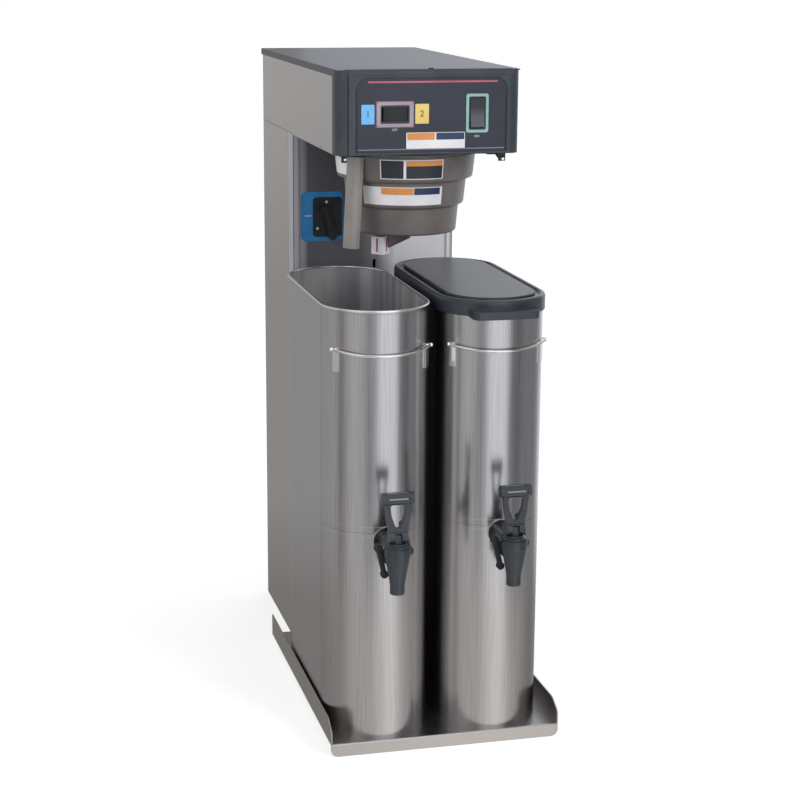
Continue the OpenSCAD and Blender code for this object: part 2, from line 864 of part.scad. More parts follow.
// a wire bail: an arc round the end of the shell, with an eye and a pivot pin at each side
module bail() {
    r = wire_d / 2;
    end_turn = acos((pivot_y - shell_half) / bail_r);
    eye_r = 2.8;
    eye_shift = 0.5;
    eye_from = bail_r * sin(end_turn) - r + eye_shift;
    pin_root = 1;
    pin_from = pivot_x + 1.8;
    color("silver") translate([0, -pivot_y, bail_z]) {
        rotate([bail_droop, 0, 0]) translate([0, pivot_y - shell_half, 0]) rotate([0, 0, 270 - end_turn])
            rotate_extrude(angle = 2 * end_turn) translate([bail_r, 0]) circle(r, $fn = 32);
        both_sides() {
            translate([eye_from, 0, 0]) rotate([0, 90, 0]) cylinder(r = eye_r, h = 2 * r);
            translate([pin_from, 0, 0]) rotate([0, 90, 0])
                cylinder(r = bail_pin_r, h = eye_from - pin_from + pin_root);
        }
    }
}

module faucet_flange() {
    flange_r = 17;
    color("silver") difference() {
        translate([0, front_y + 6, shank_z]) rotate([90, 0, 0]) cylinder(r = flange_r, h = 9);
        front_round(shell_r + 0.5, shank_z - 30, shank_z + 30);
        translate([0, front_y + 10, shank_z]) rotate([90, 0, 0]) cylinder(r = shank_r, h = 30);
    }
}

// one wing of the nut: a strap between two lobes, and a web to the hub
module wing() {
    upper = [-20, 3];
    lower = [-12, -32];
    along = lower - upper;
    translate(upper) circle(5.5);
    translate(lower) circle(5);
    translate(upper) rotate(atan2(along[1], along[0])) translate([0, -3]) square([norm(along), 6]);
    rotate(atan2(lower[1] + upper[1], lower[0] + upper[0])) translate([0, -9]) square([20, 18]);
}

module wing_nut() {
    hub_r = 10.5;
    hub_t = 12;
    wing_t = 6;
    color("#1d1f21") translate([0, nut_y, shank_z]) rotate([90, 0, 0]) difference() {
        union() {
            translate([0, 0, -hub_t / 2]) cylinder(r = hub_r, h = hub_t / 2);
            linear_extrude(wing_t, center = true) {
                wing();
                rotate(180) wing();
                circle(hub_r);
            }
        }
        cylinder(r = shank_r, h = far, center = true);
    }
}

module faucet_body() {
    outlet_r = 6;
    mouth_z = 237;
    outline = [
        [outlet_r, mouth_z], [8.9, mouth_z], [9.4, mouth_z + 0.8], [9.4, 248.5], [10.4, 256], [14.6, 278],
        [16, 286], [collar_r, 287], [collar_r, collar_top - 0.6], [collar_r - 0.6, collar_top], [0, collar_top],
        [0, 280], [outlet_r, 274]];
    color("#31363b") {
        translate([0, faucet_y_local, 0]) rotate_extrude() polygon(outline);
        translate([0, front_y + 6, shank_z]) rotate([90, 0, 0]) cylinder(r = shank_r, h = faucet_reach - 6);
    }
}

module bonnet() {
    cap_r = 15;
    crown_r = 11;
    crown_z = 303.5;
    post = [8, 9];
    post_low = crown_z - 0.5;
    color("#2b3035") translate([0, faucet_y_local, 0]) {
        rotate_extrude() polygon([[0, collar_top], [cap_r - 0.5, collar_top], [cap_r, collar_top + 0.5],
            [cap_r, crown_z - 2.5], [crown_r + 1, crown_z - 1.1], [crown_r, crown_z], [0, crown_z]]);
        translate([-post[0] / 2, 0, post_low]) rotate([90, 0, 90]) linear_extrude(post[0])
            polygon(concat([[-post[1] / 2, 0], [post[1] / 2, 0]],
                           arc(0, lever_pivot_z - post_low, post[1] / 2, 0, 180, 16)));
        translate([-knuckle_w / 2, 0, lever_pivot_z]) rotate([0, 90, 0]) cylinder(r = lever_axle_r, h = knuckle_w);
    }
}

// the handle's loop, drawn from the front
module lever_loop() {
    bottom = lever_pivot_z + 9;
    top = bar_z;
    difference() {
        polygon([[-11.7, lever_pivot_z], [11.7, lever_pivot_z], [12, bottom], [14.5, bottom + 14], [17.6, top],
                 [-17.6, top], [-14.5, bottom + 14], [-12, bottom]]);
        polygon(concat(arc(0, bottom + 5.5, 3.6, 200, 340), [[8.6, bottom + 18], [9.9, top - 13]],
                       arc(6.9, top - 10.5, 3, 0, 90), arc(-6.9, top - 10.5, 3, 90, 180),
                       [[-9.9, top - 13], [-8.6, bottom + 18]]));
    }
}

module faucet_lever() {
    knuckle = 8.2;
    bar = [35, 13, 14];
    end_r = 7.8;
    gap = 0.4;
    leg_t = 8;
    edge = 2;
    color("#2b3035") translate([0, faucet_y_local, 0]) difference() {
        union() {
            translate([0, leg_t / 2, 0]) rotate([90, 0, 0]) linear_extrude(leg_t) lever_loop();
            translate([0, 0, lever_pivot_z]) rotate([0, 90, 0]) cylinder(r = knuckle, h = knuckle_w, center = true);
            translate([-bar[0] / 2, 0, bar_z]) rotate([90, 0, 90]) linear_extrude(bar[0])
                polygon([for (s = [[1, 1], [-1, 1], [-1, -1], [1, -1]], k = [0, 1])
                    let (flat = (s[0] * s[1] > 0) == (k == 0))
                    [s[0] * (bar[1] / 2 - (flat ? 0 : edge)), s[1] * (bar[2] / 2 - (flat ? edge : 0))]]);
            for (x = [-1, 1]) translate([x * (bar[0] / 2), 0, bar_z]) rotate([0, 90, 0])
                cylinder(r = end_r, h = 5, center = true);
        }
        translate([-4 - gap, -far / 2, lever_pivot_z - knuckle - 1]) cube([8 + 2 * gap, far, knuckle + 1 + 5.2]);
        translate([0, 0, lever_pivot_z]) rotate([0, 90, 0])
            cylinder(r = lever_axle_r + running_gap, h = 2 * knuckle_w, center = true);
    }
}

// lid of the right dispenser: a sunk face inside a rounded rim, a skirt, and a grip lip at the front
module right_lid() {
    inside = rim_r + 0.3;
    thick = 3;
    sunk_r = 65;
    rim_edge = 4;
    grip_half = 44;
    grip_low = 573;
    grip_high = 583;
    grip_y = front_y - 19;
    grip_r = 16;
    grip_curve = 400;
    color("#2e3238") at_station(right_x) {
        difference() {
            union() {
                oval(shell_half) polygon(concat(
                    [[0, lid_face - thick], [0, lid_face], [sunk_r, lid_face], [sunk_r + 1.5, lid_rim_top - 0.6],
                     [sunk_r + 2.3, lid_rim_top]],
                    arc(lid_skirt_r - rim_edge, lid_rim_top - rim_edge, rim_edge, 90, 0),
                    [[lid_skirt_r, lid_low], [inside, lid_low], [inside, rim_z], [66, rim_z],
                     [66, lid_face - thick]]));
                translate([0, 0, grip_low]) linear_extrude(grip_high - grip_low) intersection() {
                    rounded_rect(-grip_half, grip_y - 2, grip_half, front_y + 60, grip_r);
                    translate([0, grip_y + grip_curve]) circle(grip_curve);
                }
            }
            translate([0, 0, lid_low - 20]) oval(shell_half) square([inside, rim_z - lid_low + 20]);
            translate([-far / 2, grip_y + 6, grip_high - 1]) cube([far, 3, 2]);
        }
    }
}

module right_lid_panel() {
    half_w = 59.5;
    edge = 2.5;
    color("#3d3a3c") at_station(right_x) oval(shell_half) polygon(concat(
        [[0, panel_top - edge], [half_w - 4, panel_top - edge], [half_w - 3, lid_face], [half_w, lid_face]],
        arc(half_w - edge, panel_top - edge, edge, 0, 90), [[0, panel_top]]));
}

module left_shell() at_station(left_x) dispenser_shell();
module left_floor() at_station(left_x) dispenser_floor();
module left_brackets() at_station(left_x) dispenser_brackets();
module left_front_bail() at_station(left_x) bail();
module left_rear_bail() at_station(left_x) mirror([0, 1, 0]) bail();
module left_flange() at_station(left_x) faucet_flange();
module left_wing_nut() at_station(left_x) wing_nut();
module left_faucet() at_station(left_x) faucet_body();
module left_bonnet() at_station(left_x) bonnet();
module left_lever() at_station(left_x) faucet_lever();
module right_shell() at_station(right_x) dispenser_shell();
module right_floor() at_station(right_x) dispenser_floor();
module right_brackets() at_station(right_x) dispenser_brackets();
module right_front_bail() at_station(right_x) bail();
module right_rear_bail() at_station(right_x) mirror([0, 1, 0]) bail();
module right_flange() at_station(right_x) faucet_flange();
module right_wing_nut() at_station(right_x) wing_nut();
module right_faucet() at_station(right_x) faucet_body();
module right_bonnet() at_station(right_x) bonnet();
module right_lever() at_station(right_x) faucet_lever();

top_lid();
lid_screw();
hood_shell();
hood_floor();
trunk_shell();
splash_panel();
base_pan();
feet();
tank_shelf();
tank();
spray_tube();
sprayhead();
water_inlet();
cord_gland();
control_cap();
control_overlay();
accent_line();
blue_tab();
yellow_tab();
selector_bezel();
selector_case();
selector_rocker();
start_bezel();
start_case();
start_rocker();
cap_brackets();
cap_studs();
funnel_rails();
valve_plate();
valve_face();
valve_lever();
tray();
funnel();
funnel_handle();
funnel_tip();
left_shell();
left_floor();
left_brackets();
left_front_bail();
left_rear_bail();
left_flange();
left_wing_nut();
left_faucet();
left_bonnet();
left_lever();
right_shell();
right_floor();
right_brackets();
right_front_bail();
right_rear_bail();
right_flange();
right_wing_nut();
right_faucet();
right_bonnet();
right_lever();
right_lid();
right_lid_panel();
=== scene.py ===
# %% [markdown]
# A counter-top iced tea brewer: a tall stainless trunk, an overhanging hood with a moulded control cap,
# a brown-grey brew funnel, and two narrow stainless dispensers on a tray. The solid model is the fixed
# frame. This script dresses it: every finish is a node material, and the small printed and moulded
# details are modelled here.

# %% Load the frame
import math

import bpy
from mathutils import Matrix, Vector


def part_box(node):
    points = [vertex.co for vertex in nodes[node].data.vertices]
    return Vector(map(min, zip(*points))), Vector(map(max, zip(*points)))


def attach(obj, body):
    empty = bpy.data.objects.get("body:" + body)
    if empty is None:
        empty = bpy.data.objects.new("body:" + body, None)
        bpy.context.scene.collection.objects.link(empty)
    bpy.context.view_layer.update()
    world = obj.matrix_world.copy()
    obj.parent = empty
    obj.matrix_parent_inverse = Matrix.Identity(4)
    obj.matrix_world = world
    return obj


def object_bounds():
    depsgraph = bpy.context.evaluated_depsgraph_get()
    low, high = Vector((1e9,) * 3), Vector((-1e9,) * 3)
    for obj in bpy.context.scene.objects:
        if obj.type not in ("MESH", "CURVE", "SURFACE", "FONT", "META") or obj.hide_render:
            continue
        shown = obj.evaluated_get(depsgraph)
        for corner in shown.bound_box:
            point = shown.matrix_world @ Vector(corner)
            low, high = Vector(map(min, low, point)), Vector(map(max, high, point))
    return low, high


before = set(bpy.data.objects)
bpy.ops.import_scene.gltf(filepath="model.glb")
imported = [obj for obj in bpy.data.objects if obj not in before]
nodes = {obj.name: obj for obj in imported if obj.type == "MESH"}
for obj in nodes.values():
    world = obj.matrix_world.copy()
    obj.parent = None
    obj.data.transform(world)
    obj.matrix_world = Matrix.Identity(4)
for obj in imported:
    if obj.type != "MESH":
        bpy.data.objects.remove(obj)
cad_low, cad_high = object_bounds()
MM = 0.001
print("frame box", [round(v, 4) for v in cad_low], [round(v, 4) for v in cad_high])

# %% [markdown]
# The solids were drawn from the machine's back plane forwards, so one helper turns a distance in front
# of that plane into this frame's y. The hood shell's back wall lies on the plane.

# %% Places taken from the frame
back_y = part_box("hood_shell")[1][1]


def fwd(distance):
    """The y of a point this many millimetres in front of the back plane."""
    return back_y - distance * MM


def deselect():
    """Operators act on all that is selected, so each step starts from nothing selected."""
    if bpy.context.object and bpy.context.object.mode != "OBJECT":
        bpy.ops.object.mode_set(mode="OBJECT")
    bpy.ops.object.select_all(action="DESELECT")


print("back plane at y", round(back_y, 4))

# %% [markdown]
# The photograph was taken from a little above and to the left, with a long lens. A camera placed from
# the fitted distances, with no shift, gives the same perspective. Its axes are worked out from the yaw,
# the pitch and a slight roll.

# %% Camera
camera_place = (-632.75 * MM, fwd(2891.73), 1026.25 * MM)
yaw, pitch, roll = math.radians(14.245), math.radians(13.476), math.radians(0.4)
focal_px, frame_px, sensor_mm = 1886.2, 800, 36.0

ahead = Vector((math.sin(yaw) * math.cos(pitch), math.cos(yaw) * math.cos(pitch), -math.sin(pitch)))
level = Vector((math.cos(yaw), -math.sin(yaw), 0))
upward = level.cross(ahead)
right = level * math.cos(roll) + upward * math.sin(roll)
up = upward * math.cos(roll) - level * math.sin(roll)
turn = Matrix((right, up, -ahead)).transposed()

lens = bpy.data.cameras.new("photo_lens")
lens.sensor_width = sensor_mm
lens.lens = focal_px / frame_px * sensor_mm
camera = bpy.data.objects.new("photo_camera", lens)
camera.matrix_world = Matrix.Translation(camera_place) @ turn.to_4x4()
bpy.context.collection.objects.link(camera)
bpy.context.scene.camera = camera
print("lens", round(lens.lens, 2), "mm")

# %% [markdown]
# One small function adds a node, sets its values and links its inputs. Colours are written as sRGB hex
# values, and turned to the linear values that shaders use.


# %% Node and colour helpers
def linear(hex_colour):
    """An sRGB hex string as a linear RGBA tuple."""
    channels = [int(hex_colour[i:i + 2], 16) / 255 for i in (1, 3, 5)]
    return tuple(c / 12.92 if c <= 0.04045 else ((c + 0.055) / 1.055) ** 2.4 for c in channels) + (1.0,)


def add_node(tree, kind, settings=None, stops=(), **inputs):
    """Adds one node. A setting is an attribute, and an input is a value or the socket that feeds it.

    The stops are a colour ramp's (position, linear colour) pairs.
    """
    node = tree.nodes.new(kind)
    for name, value in (settings or {}).items():
        setattr(node, name, value)
    if stops:
        elements = node.color_ramp.elements
        while len(elements) < len(stops):
            elements.new(0.5)
        for element, (position, colour) in zip(elements, stops):
            element.position = position
            element.color = colour
    for name, value in inputs.items():
        socket = node.inputs[int(name[1:])] if name[0] == "_" else node.inputs[name.replace("_", " ")]
        if isinstance(value, bpy.types.NodeSocket):
            tree.links.new(value, socket)
        else:
            socket.default_value = value
    return node


def new_material(name):
    """An empty node material with its Principled shader linked to the output."""
    material = bpy.data.materials.new(name)
    material.use_nodes = True
    tree = material.node_tree
    tree.nodes.clear()
    shader = tree.nodes.new("ShaderNodeBsdfPrincipled")
    add_node(tree, "ShaderNodeOutputMaterial", Surface=shader.outputs[0])
    return material, tree, shader


def stretched_noise(tree, size_mm, detail=3.0):
    """Noise on Object coordinates whose grains measure size_mm along X, Y and Z."""
    place = add_node(tree, "ShaderNodeTexCoord")
    mapping = add_node(tree, "ShaderNodeMapping", Vector=place.outputs["Object"],
                       Scale=tuple(1 / (s * MM) for s in size_mm))
    return add_node(tree, "ShaderNodeTexNoise", Vector=mapping.outputs[0], Scale=1.0, Detail=detail)


print("a middle grey in linear values", [round(part, 3) for part in linear("#808080")])

# %% [markdown]
# Brushed stainless steel, a number 4 finish: an abrasive belt leaves fine parallel scratches, so a
# reflection is drawn out across them and the sheet shows a faint grain along them. The grain here is
# noise stretched along one axis. It moves the colour and the roughness a little, and a very shallow
# bump breaks up the highlights. The sheet of the hood and trunk is brushed upright, and the tray along
# its length. The lid's sheet is darker, and drawn wire and fittings are smoother and brighter.


# %% Brushed stainless
def link_relief(tree, shader, bump, edge_mm):
    """Links a bump to the shader. Hard edges catch light as ones rounded by edge_mm do."""
    if edge_mm:
        edge = add_node(tree, "ShaderNodeBevel", {"samples": 6}, Radius=edge_mm * MM)
        tree.links.new(edge.outputs[0], bump.inputs["Normal"])
    tree.links.new(bump.outputs[0], shader.inputs["Normal"])


def brushed_steel(name, light, dark, grain_mm, roughness, edge_mm=0.0):
    """Steel with two tones and a grain that measures grain_mm. edge_mm softens its hard edges."""
    material, tree, shader = new_material(name)
    grain = stretched_noise(tree, grain_mm, 4.0)
    tone = add_node(tree, "ShaderNodeValToRGB", stops=[(0.3, linear(dark)), (0.7, linear(light))],
                    Fac=grain.outputs["Fac"])
    tree.links.new(tone.outputs["Color"], shader.inputs["Base Color"])
    spread = add_node(tree, "ShaderNodeMapRange", Value=grain.outputs["Fac"],
                      To_Min=roughness - 0.04, To_Max=roughness + 0.05)
    tree.links.new(spread.outputs[0], shader.inputs["Roughness"])
    bump = add_node(tree, "ShaderNodeBump", Strength=0.05, Distance=0.05 * MM, Height=grain.outputs["Fac"])
    link_relief(tree, shader, bump, edge_mm)
    shader.inputs["Metallic"].default_value = 1.0
    return material


upright_grain, lengthwise_grain = (0.7, 0.7, 90), (0.7, 90, 0.7)
steel_upright = brushed_steel("stainless_brushed_upright", "#c9c4c1", "#b3adaa", upright_grain, 0.24)
steel_lengthwise = brushed_steel("stainless_brushed_lengthwise", "#c6c2bf", "#b0aba8", lengthwise_grain,
                                 0.30, edge_mm=1.2)
steel_lid = brushed_steel("stainless_lid_dark", "#505157", "#46474c", lengthwise_grain, 0.36)
steel_bright = brushed_steel("stainless_bright_drawn", "#ebe9e7", "#dedbd8", (2, 2, 2), 0.16)
print("steel finishes made")

# %% [markdown]
# Moulded plastic copies the spark-eroded texture of its mould: a fine even pebble that scatters the
# highlight. The pebble is noise of about half a millimetre, and a slower noise shades the colour a
# little, as thick and thin walls do.


# %% Moulded plastic
def moulded_plastic(name, light, dark, roughness, pebble_mm=0.5, bump_mm=0.02, edge_mm=0.0):
    """Plastic, film or ink with two tones and a pebbled face. edge_mm softens its hard edges."""
    material, tree, shader = new_material(name)
    cloud = stretched_noise(tree, (35, 35, 35), 2.0)
    tone = add_node(tree, "ShaderNodeValToRGB", stops=[(0.35, linear(dark)), (0.65, linear(light))],
                    Fac=cloud.outputs["Fac"])
    tree.links.new(tone.outputs["Color"], shader.inputs["Base Color"])
    pebble = stretched_noise(tree, (pebble_mm,) * 3, 1.0)
    bump = add_node(tree, "ShaderNodeBump", Strength=0.5, Distance=bump_mm * MM,
                    Height=pebble.outputs["Fac"])
    link_relief(tree, shader, bump, edge_mm)
    shader.inputs["Roughness"].default_value = roughness
    shader.inputs["IOR"].default_value = 1.5
    return material


cap_plastic = moulded_plastic("abs_cap_blue_grey", "#3a4249", "#323940", 0.42, edge_mm=2.5)
overlay_film = moulded_plastic("polyester_overlay_film", "#252937", "#202431", 0.34, 0.3, 0.008)
black_plastic = moulded_plastic("nylon_black_moulded", "#25282b", "#1d2022", 0.45)
rocker_grey = moulded_plastic("nylon_rocker_grey", "#50555b", "#474c52", 0.34, 0.4, 0.01)
rocker_black = moulded_plastic("nylon_rocker_black", "#0f1113", "#0b0d0f", 0.45, 0.4, 0.01)
switch_plastic = moulded_plastic("nylon_switch_black", "#2a2d31", "#222529", 0.3, 0.4, 0.01)
funnel_plastic = moulded_plastic("polypropylene_funnel_brown_grey", "#716c6a", "#686362", 0.38)
# The handle is the funnel's own plastic, made lighter here as painted light where it is lit.
grip_plastic_painted_light = moulded_plastic("polypropylene_grip_painted_light", "#95908e", "#8b8684", 0.42)
white_plastic = moulded_plastic("nylon_tip_white", "#f1f1f4", "#e6e6ea", 0.4)
faucet_plastic = moulded_plastic("polysulfone_faucet_black", "#353a40", "#2c3136", 0.3)
lid_plastic = moulded_plastic("abs_lid_black", "#353a42", "#2e333a", 0.30, edge_mm=2.5)
panel_plastic = moulded_plastic("abs_lid_panel_dark", "#302f31", "#28272a", 0.34)
rubber = moulded_plastic("rubber_foot_black", "#1c1c1d", "#141415", 0.8, 0.8)
pink_frame = moulded_plastic("printed_frame_pale_pink", "#a79fad", "#9d94a3", 0.4, 0.3, 0.006)
green_frame = moulded_plastic("printed_frame_pale_green", "#94bfba", "#8ab6b0", 0.4, 0.3, 0.006)
blue_film = moulded_plastic("printed_film_light_blue", "#76c0f6", "#68b2ee", 0.38, 0.3, 0.006)
yellow_film = moulded_plastic("printed_film_light_yellow", "#ecd37e", "#e5ca70", 0.38, 0.3, 0.006)
accent_film = moulded_plastic("printed_line_red", "#c0667c", "#b65a70", 0.38, 0.3, 0.006)
blue_plate = moulded_plastic("printed_plate_blue", "#2f8acb", "#287dbb", 0.36, 0.3, 0.006)
print("plastic finishes made")

# %% [markdown]
# The start rocker's upper half is darkened by a tint, as painted shade, so its lower half stands lighter as a
# painted highlight. One tone fades to the other over ten millimetres of height. A small helper multiplies a
# material's colour by a tint, which the next finishes use too.


# %% Start rocker
def shader_of(material):
    """The Principled shader of a finished material."""
    return next(node for node in material.node_tree.nodes if node.type == "BSDF_PRINCIPLED")


def object_axes(tree):
    """Object coordinates, split into X, Y and Z."""
    place = add_node(tree, "ShaderNodeTexCoord")
    return add_node(tree, "ShaderNodeSeparateXYZ", Vector=place.outputs["Object"])


def tint_base(material, amount, tint):
    """Multiplies what feeds a material's base colour by a tint, to the given amount."""
    base = shader_of(material).inputs["Base Color"]
    mix = add_node(material.node_tree, "ShaderNodeMix", {"data_type": "RGBA", "blend_type": "MULTIPLY"},
                   _0=amount, _6=base.links[0].from_socket, _7=tint)
    material.node_tree.links.new(mix.outputs[2], base)


fade_low, fade_high = 817 * MM, 827 * MM
rocker_tree = rocker_grey.node_tree
# Painted shade on the rocker's upper half.
rocker_painted_shade = add_node(rocker_tree, "ShaderNodeMapRange", Value=object_axes(rocker_tree).outputs["Z"],
                      From_Min=fade_low, From_Max=fade_high)
tint_base(rocker_grey, rocker_painted_shade.outputs[0], linear("#77797c"))
print("rocker faded")

# %% [markdown]
# Two small metals are left: turned brass for the water inlet, and the darkened steel of the lid screw.

# %% Brass and dark steel
brass = brushed_steel("brass_turned", "#c9a65a", "#b8944a", (4, 0.5, 4), 0.3)
dark_steel = brushed_steel("steel_screw_dark", "#4a4b50", "#3d3e43", (1, 1, 1), 0.4)

# %% [markdown]
# The dispensers' insides are not belt-brushed. They keep the mill's dull surface, which scatters light
# instead of mirroring the dark vessel, so that the open one looks grey and not black. The same mesh has
# both faces, so the material tells them apart: inside, the face looks towards the oval's middle line.
# The product of the normal with the way out from that line is negative there. Each shell is welded from two
# halves and a lower band, so a fine upright line stands where the flat side meets the round end, and a
# fainter one runs level round the vessel. The inside also carries broad upright bands of lighter and darker
# tone, which are painted reflection. The flat sides reach straight_half to either side of the oval's middle.


# %% Dispenser steel
straight_half = 104 * MM
upright_weld_half = 1 * MM
level_weld, level_weld_half, level_weld_depth = 298 * MM, 0.5 * MM, 0.3
inner_metallic = 0.22


def middle_of(name):
    """The middle of a solid's box."""
    box_low, box_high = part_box(name)
    return tuple((a + b) / 2 for a, b in zip(box_low, box_high))


def inner_side(tree, across, along):
    """A mask: 1 on the inner faces of an oval shell, 0 on the outer ones."""
    run = add_node(tree, "ShaderNodeClamp", Value=along, Min=-straight_half, Max=straight_half)
    past = add_node(tree, "ShaderNodeMath", {"operation": "SUBTRACT"}, _0=along, _1=run.outputs[0])
    outward = add_node(tree, "ShaderNodeCombineXYZ", X=across, Y=past.outputs[0])
    normal = add_node(tree, "ShaderNodeNewGeometry")
    facing = add_node(tree, "ShaderNodeVectorMath", {"operation": "DOT_PRODUCT"}, _0=outward.outputs[0],
                      _1=normal.outputs["Normal"])
    mask = add_node(tree, "ShaderNodeMath", {"operation": "LESS_THAN"}, _0=facing.outputs["Value"], _1=0.0)
    return mask.outputs[0]


def dispenser_steel(name, middle):
    """Brushed outside, dull inside with painted reflection bands, with the shell's weld lines."""
    material = brushed_steel(name, "#c8c5c5", "#b2afaf", upright_grain, 0.24)
    tree = material.node_tree
    spot = object_axes(tree)
    across = add_node(tree, "ShaderNodeMath", {"operation": "SUBTRACT"}, _0=spot.outputs["X"], _1=middle[0])
    along = add_node(tree, "ShaderNodeMath", {"operation": "SUBTRACT"}, _0=spot.outputs["Y"], _1=middle[1])
    inside = inner_side(tree, across.outputs[0], along.outputs[0])
    metal = add_node(tree, "ShaderNodeMapRange", Value=inside, To_Min=1.0, To_Max=inner_metallic)
    tree.links.new(metal.outputs[0], shader_of(material).inputs["Metallic"])
    # Painted reflection: broad upright light and dark bands on the inside only.
    reflection_streak_noise = stretched_noise(tree, (26, 26, 900), 1.0)
    painted_reflection_tones = [(0.35, linear("#bcc0c8")), (0.5, linear("#dfe2e8")), (0.62, linear("#ffffff"))]
    bands = add_node(tree, "ShaderNodeValToRGB", stops=painted_reflection_tones, Fac=reflection_streak_noise.outputs["Fac"])
    tint_base(material, inside, bands.outputs["Color"])
    upright_line = add_node(tree, "ShaderNodeMath", {"operation": "COMPARE"}, _0=along.outputs[0],
                            _1=-straight_half, _2=upright_weld_half)
    level_line = add_node(tree, "ShaderNodeMath", {"operation": "COMPARE"}, _0=spot.outputs["Z"],
                          _1=level_weld, _2=level_weld_half)
    weld = add_node(tree, "ShaderNodeMath", {"operation": "MULTIPLY_ADD"}, _0=level_line.outputs[0],
                    _1=level_weld_depth, _2=upright_line.outputs[0])
    tint_base(material, weld.outputs[0], linear("#85817e"))
    return material


left_steel = dispenser_steel("stainless_dispenser_left", middle_of("left_shell"))
right_steel = dispenser_steel("stainless_dispenser_right", middle_of("right_shell"))
print("dispenser finishes made")

# %% [markdown]
# The panel behind the dispensers is the same sheet with a finer, matt finish, which takes a broad soft light
# from the front. A tint across its width paints light and shade on it: painted shade at the left, behind the
# valve, and painted light at the right.

# %% Splash panel steel
splash_steel = brushed_steel("stainless_splash_matt", "#f4f4f7", "#e8e8ec", upright_grain, 0.34)
splash_metallic, panel_half = 0.3, 120 * MM
shader_of(splash_steel).inputs["Metallic"].default_value = splash_metallic
splash_tree = splash_steel.node_tree
sideways = add_node(splash_tree, "ShaderNodeMapRange", Value=object_axes(splash_tree).outputs["X"],
                    From_Min=-panel_half, From_Max=panel_half)
# Painted shade at the left and painted light at the right, across the panel's width.
painted_light_tones = [(0.06, "#c2c0c4"), (0.1, "#6c6a70"), (0.42, "#6a686c"), (0.53, "#8c8a8e"), (0.64, "#f8f8fb"),
               (0.975, "#fafafc"), (0.99, "#b0aeb2")]
painted_light_tint = add_node(splash_tree, "ShaderNodeValToRGB", Fac=sideways.outputs[0],
                      stops=[(part, linear(tone)) for part, tone in painted_light_tones])
tint_base(splash_steel, 1.0, painted_light_tint.outputs["Color"])
print("splash panel finish made")

# %% [markdown]
# Each solid of the frame keeps its mesh and only takes a finish.


# %% Dress the solids
def dress(material, *names):
    """Gives solids of the frame their finish."""
    for name in names:
        mesh = nodes[name].data
        mesh.materials.clear()
        mesh.materials.append(material)


dress(steel_upright, "hood_shell", "trunk_shell")
dress(splash_steel, "splash_panel")
dress(steel_lengthwise, "hood_floor", "tray", "base_pan", "tank_shelf")
dress(steel_lid, "top_lid")
dress(dark_steel, "lid_screw")
dress(steel_bright, "tank", "spray_tube", "sprayhead", "cap_studs")
dress(brass, "water_inlet")
dress(rubber, "feet")
dress(cap_plastic, "control_cap")
dress(overlay_film, "control_overlay")
dress(black_plastic, "cord_gland", "cap_brackets", "funnel_rails", "valve_face", "valve_lever")
dress(switch_plastic, "selector_case", "start_case")
dress(rocker_black, "selector_rocker")
dress(rocker_grey, "start_rocker")
dress(pink_frame, "selector_bezel")
dress(green_frame, "start_bezel")
dress(blue_film, "blue_tab")
dress(yellow_film, "yellow_tab")
dress(accent_film, "accent_line")
dress(blue_plate, "valve_plate")
dress(funnel_plastic, "funnel")
dress(grip_plastic_painted_light, "funnel_handle")
dress(white_plastic, "funnel_tip")
dress(lid_plastic, "right_lid")
dress(panel_plastic, "right_lid_panel")
for side, steel in (("left", left_steel), ("right", right_steel)):
    dress(steel, f"{side}_shell", f"{side}_floor")
    dress(steel_bright, f"{side}_brackets", f"{side}_front_bail", f"{side}_rear_bail", f"{side}_flange")
    dress(black_plastic, f"{side}_wing_nut")
    dress(faucet_plastic, f"{side}_faucet", f"{side}_bonnet", f"{side}_lever")
print(len(nodes), "solids dressed")

# %% [markdown]
# Labels and printed marks are thin films. A flat one starts as a plane turned to lie on its surface: its
# corners are rounded by a vertex bevel, and Solidify gives it a tenth of a millimetre of thickness, so
# that it catches an edge of light as a real sticker does. One helper turns and places a flat piece, by
# the directions of its width and its height, and applies that to the mesh.


# %% Flat films
def set_down(piece, centre, across, upward, size=(1, 1)):
    """Turns and places a piece that was made flat at the origin, and applies it to the mesh."""
    across, upward = Vector(across).normalized(), Vector(upward).normalized()
    turned = Matrix((across, upward, across.cross(upward))).transposed().to_4x4()
    piece.matrix_world = Matrix.Translation(centre) @ turned @ Matrix.Diagonal((size[0], size[1], 1, 1))
    deselect()
    piece.select_set(True)
    bpy.context.view_layer.objects.active = piece
    bpy.ops.object.transform_apply(location=True, rotation=True, scale=True)


def finish_piece(piece, name, finish, body):
    """Names a piece, gives it its finish, and lets it ride on its body."""
    piece.name = name
    piece.data.materials.clear()
    piece.data.materials.append(finish)
    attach(piece, body)


def give_wall(piece, thick_mm):
    """Thickens a flat piece towards its front."""
    wall = piece.modifiers.new("wall", "SOLIDIFY")
    wall.thickness = thick_mm * MM
    wall.offset = 1
    bpy.ops.object.modifier_apply(modifier="wall")


def film(name, finish, centre, across, upward, size_mm, body="machine", corner_mm=0.0,
         thick_mm=0.12):
    """A thin flat label or printed mark."""
    deselect()
    bpy.ops.mesh.primitive_plane_add(size=1)
    piece = bpy.context.object
    set_down(piece, centre, across, upward, (size_mm[0] * MM, size_mm[1] * MM))
    if corner_mm:
        bpy.ops.object.mode_set(mode="EDIT")
        bpy.ops.mesh.select_all(action="SELECT")
        bpy.ops.mesh.bevel(offset=corner_mm * MM, segments=4, affect="VERTICES")
        bpy.ops.object.mode_set(mode="OBJECT")
    give_wall(piece, thick_mm)
    finish_piece(piece, name, finish, body)


